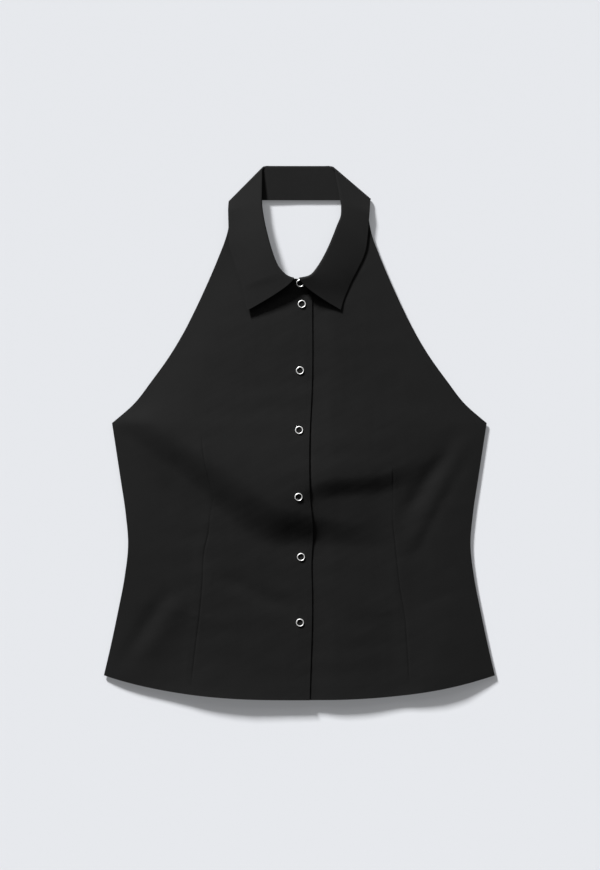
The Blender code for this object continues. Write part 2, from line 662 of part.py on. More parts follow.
def snaps():
    for number, (x, y) in enumerate(zip(SNAPS["x"], SNAPS["y"]), 1):
        slope_x, slope_y = slopes(x, y)
        normal = Vector((-slope_x, -slope_y, 1)).normalized()
        snap(number, x, y, normal, float(front_height(x, y)))
    across, up = STAND_SNAP
    made = front_station(COLLAR_RIGHT, COLLAR_RIGHT["along"][0], front_height, FRONT_BEND["right"])
    rise = made.low - made.seam_z
    run = np.linalg.norm(made.seam - made.roll) - SEAM_GAP - made.radius
    slope = rise / run
    normal = Vector((0, -slope, 1)).normalized()
    surface = made.seam_z + up * slope + CLOTH / 2 * math.hypot(1, slope)
    snap(len(SNAPS["x"]) + 1, across, neck_y(across) + SEAM_GAP + up, normal, surface)


def build():
    for old in list(bpy.data.objects):
        bpy.data.objects.remove(old)
    front("front_right", -1, front_height)
    front("front_left", 1, lap_height)
    back()
    collar()
    snaps()


build()
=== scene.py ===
import math

import bpy
import numpy as np
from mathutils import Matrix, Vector
from mathutils.bvhtree import BVHTree


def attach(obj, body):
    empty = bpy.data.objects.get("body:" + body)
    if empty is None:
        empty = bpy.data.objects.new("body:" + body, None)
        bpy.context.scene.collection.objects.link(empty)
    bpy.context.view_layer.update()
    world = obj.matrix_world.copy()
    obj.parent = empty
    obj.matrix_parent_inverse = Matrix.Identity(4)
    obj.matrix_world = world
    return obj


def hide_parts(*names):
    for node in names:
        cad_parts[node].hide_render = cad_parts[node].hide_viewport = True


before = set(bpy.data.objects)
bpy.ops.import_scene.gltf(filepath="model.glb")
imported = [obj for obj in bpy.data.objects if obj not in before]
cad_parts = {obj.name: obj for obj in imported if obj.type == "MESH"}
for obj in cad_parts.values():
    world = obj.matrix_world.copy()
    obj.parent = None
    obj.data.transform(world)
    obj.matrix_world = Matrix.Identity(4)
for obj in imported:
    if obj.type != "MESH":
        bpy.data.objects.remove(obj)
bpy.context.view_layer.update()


# ---------------------------------------------------------------------------------------------------
# The top lies on a pale table in a pale room, under a soft
# lamp high on the left beyond the collar and a wide one past its far end.  The table's colour is painted
# darker where the lamps light it more, and it glows a little as painted light that lightens its shadows.
# The camera looks straight down.

MM = 0.001
LAMPS = {  # place, width and height, power
    "left_lamp": (Vector((-2.39, 4.49, 2.06)), (0.80, 0.80), 940.0),
    "far_lamp": (Vector((0.0, 0.95, 0.75)), (1.60, 0.80), 4.0),
}
LAMP_SPOTS = (-0.375, -0.125, 0.125, 0.375)  # shares of its width and height that its light is summed from
ROOM_LIGHT = 0.13
TABLE_COLOR = (0.799, 0.815, 0.847)  # as it shows, at every place
TABLE_PAINTED_GLOW = 0.18  # share of its colour that it gives off itself: a painted glow that lightens the shadows on it
TABLE_DROP = 0.3 * MM  # the cloth lies on it and doesn't sink into it
TABLE_HALF, TABLE_CELLS = 4.0, 160
CAMERA_AT, CAMERA_LENS, CAMERA_REACH = (0.0007, -0.0032, 2.20), 81.9, 20.0


def in_scene(name, data):
    """A new object of the scene."""
    made = bpy.data.objects.new(name, data)
    bpy.context.collection.objects.link(made)
    return made


def grey(level):
    return (level, level, level, 1)


def add_node(tree, kind, settings, sockets):
    """Adds a node: its settings come first, then the values or links of its sockets."""
    made = tree.nodes.new(kind)
    for name, value in (settings or {}).items():
        setattr(made, name, value)
    for name, value in (sockets or {}).items():
        value = getattr(value, "socket", value)
        if isinstance(value, bpy.types.NodeSocket):
            tree.links.new(value, made.inputs[name])
        else:
            made.inputs[name].default_value = value
    return made


class Value:
    """One output of a material's nodes.  Arithmetic on it adds Math nodes."""

    def __init__(self, look, socket):
        self.look = look
        self.socket = socket

    def math(self, operation, *values):
        sockets = dict(enumerate(values))
        return self.look.node("ShaderNodeMath", {"operation": operation}, sockets)

    def __add__(self, other):
        return self.math("ADD", self, other)

    def __radd__(self, other):
        return self.math("ADD", other, self)

    def __mul__(self, other):
        return self.math("MULTIPLY", self, other)

    def __rmul__(self, other):
        return self.math("MULTIPLY", other, self)

    def sine(self):
        return self.math("SINE", self)


class Look:
    """A material and its nodes."""

    def __init__(self, name):
        self.material = bpy.data.materials.new(name)
        self.material.use_nodes = True
        self.tree = self.material.node_tree
        self.tree.nodes.clear()

    def node(self, kind, settings=None, sockets=None, output=0):
        made = add_node(self.tree, kind, settings, sockets)
        return Value(self, made.outputs[output]) if made.outputs else None

    def noise(self, place, scale, detail):
        return self.node("ShaderNodeTexNoise", {}, {"Vector": place, "Scale": scale, "Detail": detail})

    def streaks(self, place, pitches):
        """Noise drawn out, with its own pitch along each axis."""
        return self.noise(self.node("ShaderNodeMapping", {}, {"Vector": place, "Scale": pitches}), 1.0, 2.0)

    def bump(self, height, strength, distance):
        sockets = {"Strength": strength, "Distance": distance, "Height": height}
        return self.node("ShaderNodeBump", {}, sockets)

    def split(self, vector):
        """Its X, Y and Z."""
        parts = self.node("ShaderNodeSeparateXYZ", sockets={0: vector}).socket.node
        return [Value(self, parts.outputs[axis]) for axis in range(3)]

    def mix(self, factor, first, second):
        """Colour between two colours."""
        return self.node(
            "ShaderNodeMix", {"data_type": "RGBA"}, {0: factor, 6: first, 7: second}, output=2
        )

    def surface(self, **sockets):
        """Principled surface from the sockets' names, with _ for a space."""
        named = {name.replace("_", " "): value for name, value in sockets.items()}
        shader = self.node("ShaderNodeBsdfPrincipled", sockets=named)
        self.node("ShaderNodeOutputMaterial", sockets={"Surface": shader})
        return self.material


def light_on_table(points):
    """Light that reaches points of the table, from the room and from each lamp's face."""
    light = np.full(len(points), math.pi * ROOM_LIGHT)
    for place, (width, height), power in LAMPS.values():
        facing = np.array(place.normalized())
        turn = place.to_track_quat("Z", "Y")
        strength = power / math.pi / len(LAMP_SPOTS) ** 2
        for across in LAMP_SPOTS:
            for up in LAMP_SPOTS:
                spot = place + turn @ Vector((across * width, up * height, 0))
                ray = np.array(spot) - points
                far = np.linalg.norm(ray, axis=1)
                light += strength * ray[:, 2] * (ray @ facing) / far**4
    return light


def pale_table():
    """Pale table whose paint is darker where the lamps light it more, so it shows one even tone whatever
    the lamps' distance, with a painted glow that lightens the shadows on it.
    """
    look = Look("pale_table")
    # tone carries painted shade: darker where the lamps light the table more, which cancels their falloff
    tone = look.node("ShaderNodeAttribute", {"attribute_name": "tone"}, output=2)
    paint = look.mix(tone * (1 - TABLE_PAINTED_GLOW), grey(0), (*TABLE_COLOR, 1))
    return look.surface(
        # the emission is painted light: the table glows to lighten the shadows that fall on it
        Base_Color=paint, Roughness=0.9, Specular_IOR_Level=0.0, Emission_Color=(*TABLE_COLOR, 1),
        Emission_Strength=TABLE_PAINTED_GLOW,
    )


steps = np.linspace(-1, 1, TABLE_CELLS + 1)
steps = TABLE_HALF * steps * np.abs(steps)  # finer towards the middle
table_x, table_y = np.meshgrid(steps, steps)
table_points = np.stack([table_x, table_y, np.full_like(table_x, -TABLE_DROP)], axis=-1).reshape(-1, 3)
corner = np.arange(len(table_points)).reshape(table_x.shape)
cells = np.stack([corner[:-1, :-1], corner[:-1, 1:], corner[1:, 1:], corner[1:, :-1]], axis=-1)
table_mesh = bpy.data.meshes.new("table_top")
table_mesh.from_pydata(table_points.tolist(), [], cells.reshape(-1, 4).tolist())
# painted shade: the table's colour is made darker where the lamps light it more, so their falloff doesn't
# show
painted_falloff_shade = np.minimum(math.pi / light_on_table(table_points), 1.0)
table_mesh.attributes.new("tone", "FLOAT", "POINT").data.foreach_set("value", painted_falloff_shade)
table_mesh.materials.append(pale_table())
in_scene("table_top", table_mesh)

for name, (place, (width, height), power) in LAMPS.items():
    lamp = bpy.data.lights.new(name, "AREA")
    lamp.shape = "RECTANGLE"
    lamp.size, lamp.size_y = width, height
    lamp.energy = power
    lamp_object = in_scene(name, lamp)
    lamp_object.location = place
    lamp_object.rotation_euler = place.to_track_quat("Z", "Y").to_euler()
    lamp_object.visible_camera = False

room = bpy.data.worlds.new("pale_room")
room.use_nodes = True
room.node_tree.nodes["Background"].inputs["Color"].default_value = grey(1)
room.node_tree.nodes["Background"].inputs["Strength"].default_value = ROOM_LIGHT
bpy.context.scene.world = room
bpy.context.scene.view_settings.view_transform = "Standard"

camera = bpy.data.cameras.new("camera")
camera.lens = CAMERA_LENS
camera.clip_end = CAMERA_REACH
bpy.context.scene.camera = in_scene("camera", camera)
bpy.context.scene.camera.location = CAMERA_AT


# ---------------------------------------------------------------------------------------------------
# Right front: the wearer's right, with the placket that laps on top.  Black stretch poplin, cut in
# one with its placket and shaped by a waist dart.  It is sewn to the back at the side seam and to the
# collar stand at the neck.  Sizes are in millimetres, seen from above.

SHELL = 0.6  # the cloth
CAD_WALL, CAD_GAP = 1.2, 0.3  # the room that the solids take between the layers


def table(columns, *rows):
    """A table with named columns, each an array."""
    return dict(zip(columns.split(), np.array(rows, float).T))


HEM_Y, HEM_RISE, HEM_POWER = -297.0, 27.0, 2.6
UNDERARM_Y = 10.0
SIDE = table(
    "y half_width",
    (-270, 217), (-240, 210), (-200, 201.5), (-160, 193.8), (-125, 190), (-90, 192.8), (-50, 198.8),
    (10, 208),
)
ARMHOLE = table(
    "y half_width",
    (10, 208), (30, 185), (57, 163.7), (83, 145), (110, 128.7), (137, 115), (166, 101.6), (192, 90.5),
    (219, 80.5), (250, 75),
)
NECKLINE = table("x y", (0, 152), (20, 155), (39, 165), (55, 184), (66.5, 212), (75, 250))
NECK_DIP = 3.0 / 20**2
PLACKET_EDGE = table(
    "y x", (-297, 11.3), (-180, 14), (-147, 13.3), (-110, 15), (-70, 11.6), (-25, 10.8), (60, 14),
    (154, 14),
)
PLACKET_WIDTH = 26.0
PLACKET_SHARES = np.linspace(0, 0.3, 61)  # of the neckline, to past the placket's seam

# Heights of the upper face, and how it comes up from its edges.
CROWN = table(
    "y bust", (-140, 20), (-60, 20), (-20, 17.6), (20, 14.4), (60, 12.3), (100, 11.6), (150, 10.2),
    (180, 8.6), (215, 6.3), (250, 4.2),
)
BODY = table("y waist", (-297, 7.4), (-230, 6.8), (-180, 6.6), (-128, 6.6), (-60, 6.6), (10, 6.8))
ARMHOLE_EDGE = table("y height", (10, 2.7), (40, 3.5), (140, 3.7), (250, 4.2))
SEAM_EDGE = 2.7
SEAM_LIFT = table(
    "y right left", (-270, 0.4, 0.3), (-215, 0.4, 0.3), (-125, 2, 0.3), (-50, 0.6, 0.1), (10, 0, 0)
)
BODY_REACH = 40.0
FLANKS = {-1: (0.66, 34.0), 1: (0.10, 28.0)}  # share of the height gained at once, and over how far
FLANK_BLEND = 20.0  # to each side of the centre front
ARMHOLE_SLANT = 0.8  # distance in from the armhole over that along X
SLANT_BELOW, SLANT_ABOVE = 20.0, 40.0  # it sets in between these, below and above the underarm
HEM_FLARE = table("x rise", (-217, 0.6), (-150, 1.6), (-70, 2.2), (0, 1.3), (80, 1.0), (217, 0.5))
HEM_FLARE_REACH = 16.0

# The step from the bust down to the waist: where the brow begins, the steep core's middle and the foot.
# On the wearer's left an upper core takes its share first.
STEP = table(
    "x brow core core_half foot upper_core upper_half upper_foot upper_share",
    (-190, 26, 10, 15, -12, 10, 12, -12, 0),
    (-172, 17, -4, 18, -40, -5, 12, -40, 0),
    (-155, 9, -13, 20, -74, -14, 12, -74, 0),
    (-137, 1, -24, 22, -66, -24, 12, -62, 0),
    (-119, -10, -38, 23, -78, -37, 12, -74, 0),
    (-101, -20, -52, 24, -90, -50, 12, -84, 0),
    (-84, -26, -65, 28, -104, -50, 12, -80, 0),
    (-66, -32, -80, 30, -124, -55, 12, -80, 0),
    (-48, -36, -92, 30, -132, -62, 12, -80, 0),
    (-30, -40, -102, 25, -138, -64, 12, -80, 0),
    (0, -42, -106, 21, -138, -66, 12, -82, 0.08),
    (22, -44, -109, 18, -136, -64, 12, -80, 0.35),
    (40, -44, -111, 16, -130, -61, 12, -76, 0.5),
    (58, -42, -113, 15, -128, -60, 12, -77, 0.56),
    (76, -35, -113, 15, -128, -59, 12, -77, 0.64),
    (94, -29, -112, 15, -126, -56, 12, -85, 0.8),
    (111, -21, -108, 15, -124, -50, 14, -100, 0.92),
    (129, -12, -104, 15, -120, -44, 16, -98, 1),
    (147, -3, -100, 15, -116, -37, 15, -68, 1),
    (165, 6, -96, 15, -112, -23, 13, -44, 1),
    (178, 12, -96, 15, -112, -12, 12, -27, 1),
    (192, 20, -96, 15, -112, 0, 12, -14, 1),
)
CORE_SHARE = 0.72  # of the step, the rest falls evenly from brow to foot

# Folds: height of the ridge (a trough is below nought), its half width, and its line.
FOLDS = (
    (-1.6, 12, ((-166, -25), (-142, -79), (-122, -116), (-104, -152))),
    (-2.4, 9, ((-204, -262), (-182, -232), (-166, -206), (-142, -174))),
    (1.2, 12, ((-182, -256), (-156, -226), (-136, -196), (-118, -176))),
    (-1.2, 10, ((-95, -156), (-60, -172), (-36, -184), (-2, -198))),
    (-2.2, 9, ((175, 2), (164, -23), (145, -48), (129, -73), (112, -100))),
    (1.2, 12, ((181, -5), (166, -46), (155, -68), (135, -104), (112, -137))),
    (-1.2, 7, ((198, -11), (176, -48), (154, -86), (132, -131), (118, -142))),
    (2.2, 34, ((168, -340), (168, -283), (158, -236), (140, -190))),
    (-2.6, 40, ((-150, -340), (-150, -283), (-140, -236), (-130, -200))),
    (-1.6, 26, ((104, -330), (104, -290), (100, -250), (96, -200))),
)
FOLD_TAPER = 0.7

# Waist darts, each a thin seam line with the cloth a little higher on the side of the wearer's right.
DARTS = {
    -1: table(
        "y x", (-290, -121), (-268, -118.4), (-230, -114), (-205, -110.7), (-167, -107.3),
        (-131, -105.1), (-112, -100.7), (-95, -99), (-70, -95.1), (-47, -101.2), (-29, -105.1),
        (2, -108.4),
    ),
    1: table(
        "y x", (-290, 123), (-259, 121.3), (-227, 119.1), (-211, 118), (-168, 111.3), (-127, 106.9),
        (-94, 103.6), (-59, 104.1), (-36, 103.6),
    ),
}
DART_DEPTH, DART_HALF = 0.2, 0.9
DART_STEP, STEP_FADE = 0.25, (6.0, 14.0)  # height of the step beside the seam, and where it ends
DART_END = 12.0  # the dart runs out over this much of its length
DART_SHOW = table(
    "y share", (-282, 0), (-262, 1), (-112, 1), (-88, 0.3), (-66, 0.3), (-54, 1), (-20, 1), (5, 0.25),
)

# Slight unevenness all over: height, wave length and turn of each set of waves, and the waves across it
# that it sways with: how much further they turn, how much it sways, and their pitch.
RIPPLES = ((0.10, 31.0, 0.7), (0.07, 17.0, 2.1), (0.16, 58.0, 4.0))
CROSS_TURN, SWAY, SWAY_PITCH = 1.7, 1.3, 0.6

# Rows and columns of the fronts' plan, and how much the columns crowd towards the dart and the placket's
# free edge.  Past its end, the dart's column drifts back to the middle of the panel.
SIDE_ROWS, ARMHOLE_ROWS = 104, 84
OUTER_COLUMNS, INNER_COLUMNS, PLACKET_COLUMNS = 38, 38, 22
DART_CROWD, PLACKET_CROWD, COLUMN_DRIFT = 1.6, 1.3, 0.03
DENSE = 480
SHARP_FROM = math.radians(50)


def smooth(x, xs, ys):
    """Cubic curve through a table's rows, level beyond its ends."""
    tangents = np.gradient(ys, xs)
    x = np.clip(x, xs[0], xs[-1])
    row = np.clip(np.searchsorted(xs, x) - 1, 0, len(xs) - 2)
    span = xs[row + 1] - xs[row]
    t = (x - xs[row]) / span
    return (
        (2 * t**3 - 3 * t**2 + 1) * ys[row]
        + (t**3 - 2 * t**2 + t) * span * tangents[row]
        + (3 * t**2 - 2 * t**3) * ys[row + 1]
        + (t**3 - t**2) * span * tangents[row + 1]
    )


def read(rows, key, value, at):
    return smooth(at, rows[key], rows[value])


def ramp(low, high, x):
    """Soft step from 0 at low to 1 at high."""
    t = np.clip((x - low) / (high - low), 0, 1)
    return t * t * (3 - 2 * t)


def half_width(y):
    side, armhole = (read(rows, "y", "half_width", y) for rows in (SIDE, ARMHOLE))
    return np.where(y < UNDERARM_Y, side, armhole)


def hem_y(x):
    return HEM_Y + HEM_RISE * (np.abs(x) / SIDE["half_width"][0]) ** HEM_POWER


def neck_y(x):
    return NECKLINE["y"][0] + NECK_DIP * x * x


def neck_point(along):
    """Point of the neckline at a share of its length from the centre front."""
    steps = np.hypot(np.diff(NECKLINE["x"]), np.diff(NECKLINE["y"]))
    length = np.concatenate([[0], np.cumsum(steps)])
    x = smooth(np.abs(along) * length[-1], length, NECKLINE["x"]) * np.sign(along)
    y = smooth(np.abs(along) * length[-1], length, NECKLINE["y"])
    return np.stack([x, np.where(np.abs(x) < NECKLINE["x"][1], neck_y(x), y)], axis=-1)


def distance_along(path, x, y):
    """Distance from each point to a line of points, and the share of the line's length at its foot."""
    path = np.array(path, float)
    lengths = np.hypot(*np.diff(path, axis=0).T)
    starts = np.concatenate([[0], np.cumsum(lengths)])
    nearest = np.full(np.shape(x), np.inf)
    share = np.zeros(np.shape(x))
    for (ax, ay), (bx, by), length, start in zip(path[:-1], path[1:], lengths, starts):
        t = np.clip(((x - ax) * (bx - ax) + (y - ay) * (by - ay)) / length**2, 0, 1)
        distance = np.hypot(x - ax - t * (bx - ax), y - ay - t * (by - ay))
        closer = distance < nearest
        share = np.where(closer, (start + t * length) / starts[-1], share)
        nearest = np.where(closer, distance, nearest)
    return nearest, share


def seam_lift(x, y):
    return np.where(x < 0, read(SEAM_LIFT, "y", "right", y), read(SEAM_LIFT, "y", "left", y))


def inset(x, y):
    """Distance in from the outline."""
    sloping = ramp(UNDERARM_Y - SLANT_BELOW, UNDERARM_Y + SLANT_ABOVE, y)
    slant = 1 - (1 - ARMHOLE_SLANT) * sloping
    return np.maximum(half_width(y) - np.abs(x), 0) * slant


def step(x, y):
    """1 on the bust, 0 on the waist below it."""
    brow, core, half, foot, upper_core, upper_half, upper_foot, share = (
        smooth(x, STEP["x"], rows) for name, rows in STEP.items() if name != "x"
    )
    lower = CORE_SHARE * ramp(core - half, core + half, y) + (1 - CORE_SHARE) * ramp(foot, brow, y)
    upper = CORE_SHARE * ramp(upper_core - upper_half, upper_core + upper_half, y)
    upper = upper + (1 - CORE_SHARE) * ramp(upper_foot, brow, y)
    return share * upper + (1 - share) * lower


def flank(x, y):
    """How far the bust has come up, from 0 at the outline to 1 at the middle."""
    d, middle = inset(x, y), inset(0 * x, y)
    risen = 0
    for sign, (share, reach) in FLANKS.items():
        at_once = np.tanh(d / reach) / np.tanh(middle / reach)
        side = share * at_once + (1 - share) * ramp(0, 1, d / middle)
        risen = risen + side * ramp(-FLANK_BLEND, FLANK_BLEND, sign * x)
    return risen


def front_height(x, y):
    """Upper face of the fronts."""
    edge = np.where(y < UNDERARM_Y, SEAM_EDGE + seam_lift(x, y), read(ARMHOLE_EDGE, "y", "height", y))
    middle = inset(0 * x, y)
    low = (1 - np.exp(-inset(x, y) / BODY_REACH)) / (1 - np.exp(-middle / BODY_REACH))
    bust = step(x, y)
    height = edge
    height = height + (read(BODY, "y", "waist", y) - edge) * low * (1 - bust)
    height = height + (read(CROWN, "y", "bust", y) - edge) * flank(x, y) * bust
    for rise, width, path in FOLDS:
        distance, share = distance_along(path, x, y)
        taper = np.sin(math.pi * np.clip(share, 0, 1)) ** FOLD_TAPER
        height = height + rise * np.exp(-((distance / width) ** 2)) * taper * low
    flare = read(HEM_FLARE, "x", "rise", x)
    height = height + flare * np.exp(-(y - hem_y(x)) / HEM_FLARE_REACH) * low
    for rise, wave, turn in RIPPLES:
        along = (x * math.cos(turn) + y * math.sin(turn)) / wave * 2 * math.pi
        turn = turn * CROSS_TURN
        across = (y * math.cos(turn) - x * math.sin(turn)) / wave * 2 * math.pi
        height = height + rise * np.sin(along + SWAY * np.sin(across * SWAY_PITCH)) * np.sin(across) * low
    return height


def dart(x, y):
    """Change of height at the darts."""
    change = 0
    for sign, line in DARTS.items():
        off = x - read(line, "y", "x", y)
        strength = np.interp(y, DART_SHOW["y"], DART_SHOW["share"])
        strength = strength * (1 - ramp(line["y"][-1] - DART_END, line["y"][-1], y))
        groove = -DART_DEPTH * np.exp(-((off / DART_HALF) ** 2))
        side = DART_STEP * ramp(0, 2 * DART_HALF, -off) * (1 - ramp(*STEP_FADE, -off))
        change = change + strength * (groove + side)
    return change


def thickness(x, y, height, wall):
    """Vertical thickness of a wall on a sloping form."""
    slope_x = (height(x + 1, y) - height(x - 1, y)) / 2
    slope_y = (height(x, y + 1) - height(x, y - 1)) / 2
    return wall * np.sqrt(1 + slope_x**2 + slope_y**2)


def placket_edge(y):
    return read(PLACKET_EDGE, "y", "x", y)


def patch(low, high, near, far):
    """Grid between four edges that share their corners."""
    u = np.linspace(0, 1, len(low))[None, :, None]
    v = np.linspace(0, 1, len(near))[:, None, None]
    across = (1 - u) * near[:, None] + u * far[:, None]
    along = (1 - v) * low[None] + v * high[None]
    corners = (1 - v) * ((1 - u) * low[0] + u * low[-1]) + v * ((1 - u) * high[0] + u * high[-1])
    return across + along - corners


def placket_grid():
    """Plan of the placket, which both fronts share: rows from hem to neck, columns to the free edge."""
    rows = np.linspace(0, 1, SIDE_ROWS + ARMHOLE_ROWS + 1)
    turns = np.linspace(0, math.pi / 2, PLACKET_COLUMNS + 1)
    columns = -PLACKET_WIDTH * np.cos(turns) ** PLACKET_CROWD
    grid = np.zeros((len(rows), len(columns), 2))
    for j, column in enumerate(columns):
        x = placket_edge(HEM_Y + rows * (NECKLINE["y"][0] - HEM_Y)) + column
        grid[:, j, 0] = x
        grid[:, j, 1] = hem_y(x) + rows * (neck_y(x) - hem_y(x))
    return grid


def side_run(sign):
    """The outline from the hem's corner over the underarm to the halter tip."""
    low = np.linspace(SIDE["y"][0], UNDERARM_Y, SIDE_ROWS + 1)
    high = UNDERARM_Y + (ARMHOLE["y"][-1] - UNDERARM_Y) * np.linspace(0, 1, ARMHOLE_ROWS + 1)[1:]
    y = np.concatenate([low, high])
    return np.stack([sign * half_width(y), y], axis=-1)


def neck_share(x):
    """Share of the neckline at a distance from the centre front."""
    return np.interp(x, neck_point(PLACKET_SHARES)[:, 0], PLACKET_SHARES)


def front_plan(sign):
    """Plan of one front: its panel, with a column on the dart, and the placket, from -X to +X."""
    placket = placket_grid()
    inner = placket[:, 0] if sign < 0 else placket[:, -1]
    outer = side_run(sign)
    hem_x = np.linspace(outer[0, 0], inner[0, 0], DENSE + 1)
    hem = np.stack([hem_x, hem_y(hem_x)], axis=-1)
    shares = np.linspace(neck_share(abs(inner[-1, 0])), 1, DENSE + 1)
    neck = (neck_point(shares) * (sign, 1))[::-1]
    neck[-1] = inner[-1]
    dense = patch(hem, neck, outer, inner)
    line = DARTS[sign]
    place = np.linspace(0, 1, DENSE + 1)
    rows = []
    last = 0.5
    for row in dense:
        off = sign * (row[:, 0] - read(line, "y", "x", row[:, 1]))
        reaches = row[np.argmin(np.abs(off)), 1] <= line["y"][-1]
        drifted = last + (0.5 - last) * COLUMN_DRIFT
        at = float(np.interp(0, off[::-1], place[::-1])) if reaches else drifted
        last = at
        near = at * (1 - np.linspace(1, 0, OUTER_COLUMNS + 1) ** DART_CROWD)
        far = at + (1 - at) * np.linspace(0, 1, INNER_COLUMNS + 1)[1:] ** DART_CROWD
        where = np.concatenate([near, far])
        rows.append(np.stack([np.interp(where, place, row[:, k]) for k in (0, 1)], axis=-1))
    panel = np.array(rows)
    if sign < 0:
        return np.concatenate([panel[:, :-1], placket], axis=1)
    return np.concatenate([placket, panel[:, ::-1][:, 1:]], axis=1)


def cloth_piece(name, top, bottom, uv, finish):
    """Closed sheet between two grids of points, with its weave laid out by uv."""
    rows, columns = top.shape[:2]
    count = rows * columns
    index = np.arange(count).reshape(rows, columns)
    a, b, c, d = index[:-1, :-1], index[:-1, 1:], index[1:, 1:], index[1:, :-1]
    upper = np.stack([a, b, c, d], axis=-1).reshape(-1, 4)
    lower = np.stack([a, d, c, b], axis=-1).reshape(-1, 4) + count
    rim = np.concatenate([index[0, :], index[1:, -1], index[-1, -2::-1], index[-2:0:-1, 0]])
    following = np.roll(rim, -1)
    side = np.stack([rim, rim + count, following + count, following], axis=-1)
    faces = np.concatenate([upper, lower, side])
    points = np.concatenate([top.reshape(-1, 3), bottom.reshape(-1, 3)]) * MM
    mesh = bpy.data.meshes.new(name)
    mesh.from_pydata(points.tolist(), [], faces.tolist())
    layer = mesh.uv_layers.new(name="weave")
    plan = np.tile(uv.reshape(-1, 2) * MM, (2, 1))
    layer.data.foreach_set("uv", plan[faces.reshape(-1)].ravel())
    mesh.shade_smooth()
    mesh.set_sharp_from_angle(angle=SHARP_FROM)
    mesh.materials.append(finish)
    return in_scene(name, mesh)


def poplin():
    """Black stretch poplin: a fine plain weave, nearly matt."""
    look = Look("black_poplin")
    warp_pitch, weft_pitch = 0.00027, 0.00040
    uv = look.node("ShaderNodeUVMap", {"uv_map": "weave"})
    u, v, _ = look.split(uv)
    weave = (u * (2 * math.pi / warp_pitch)).sine() * (v * (2 * math.pi / weft_pitch)).sine()
    slub = look.streaks(uv, (2600, 190, 1))
    cloudy = look.noise(uv, 38.0, 3.0)
    relief = look.bump(weave + slub * 0.5, 0.35, 0.00005)
    depth = weave * 0.10 + slub * 0.30 + cloudy * 0.45 + 0.10
    color = look.mix(depth, grey(0.0069), grey(0.0095))
    return look.surface(
        Base_Color=color, Roughness=0.86 + cloudy * 0.06, Specular_IOR_Level=0.07, Normal=relief,
    )


def front(name, sign, height):
    """One front, from its plan and the height of its upper face."""
    plan = front_plan(sign)
    x, y = plan[..., 0], plan[..., 1]
    top = height(x, y) + dart(x, y)
    bottom = top - thickness(x, y, height, SHELL)
    return cloth_piece(name, np.dstack([x, y, top]), np.dstack([x, y, bottom]), plan, black_poplin)


black_poplin = poplin()
front_right = front("right_front", -1, front_height)
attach(front_right, "root")
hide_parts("front_right")


# ---------------------------------------------------------------------------------------------------
# Left front: the wearer's left, whose placket lies under the other.  The same poplin with its own
# waist dart, sewn at the side seam and the neck, and held to the right front by the snaps.

LAP_BLEND = 28.0
STUD_ROOM = 2.0  # for the studs between the layers, up to the first X and above the second Y
STUD_ROOM_X, STUD_ROOM_Y = (8.0, 13.0), (-275.0, -230.0)


def lap_height(x, y):
    """Upper face of the lower front, which passes under the placket."""
    under = 1 - ramp(0, LAP_BLEND, x - placket_edge(y) - CAD_GAP)
    room = STUD_ROOM * (1 - ramp(*STUD_ROOM_X, np.abs(x))) * ramp(*STUD_ROOM_Y, y)
    return front_height(x, y) - (CAD_WALL + CAD_GAP + room) * under


front_left = front("left_front", 1, lap_height)
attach(front_left, "root")
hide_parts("front_left")


# ---------------------------------------------------------------------------------------------------
# Back: one plain panel from side seam to side seam that ends at the underarms.  It lies flat on the
# table, and its sides roll up to meet the fronts at the seams.

BACK_TOP_DIP = 18.0
BACK_HEM_SHORT, BACK_HEM_POWER = 2.0, 8
SEAM_GAP, SEAM_LIFT_REACH = 0.1, 28.0
BACK_ROWS, BACK_COLUMNS = 100, 140

across = np.sin(np.linspace(-1, 1, BACK_COLUMNS + 1) * math.pi / 2)[None]
share = np.linspace(0, 1, BACK_ROWS + 1)[:, None]
y = SIDE["y"][0] + share * (UNDERARM_Y - SIDE["y"][0])
x = half_width(y) * across
hem_line = hem_y(x[:1]) + BACK_HEM_SHORT * (1 - across**BACK_HEM_POWER)
top_line = UNDERARM_Y - BACK_TOP_DIP * (1 - across**2)
y = hem_line + share * (top_line - hem_line)
x = half_width(y) * across
seam_z = SEAM_EDGE - 2 * SHELL - SEAM_GAP + seam_lift(x, y)
curl = seam_z * (1 - ramp(0, SEAM_LIFT_REACH, inset(x, y))) ** 2
top, bottom = np.dstack([x, y, curl + SHELL]), np.dstack([x, y, curl])
back = cloth_piece("back_panel", top, bottom, np.dstack([x, y]), black_poplin)
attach(back, "root")
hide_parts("back")


# ---------------------------------------------------------------------------------------------------
# Collar stand: the band that is sewn to the neckline and closes at the centre front, two layers of the
# poplin over a stiffener.  Beside the neck it folds under with the collar fall, and both cross behind
# the neck as the halter strap.

COLLAR_SHELL = 1.0
LAYER = COLLAR_SHELL + SEAM_GAP

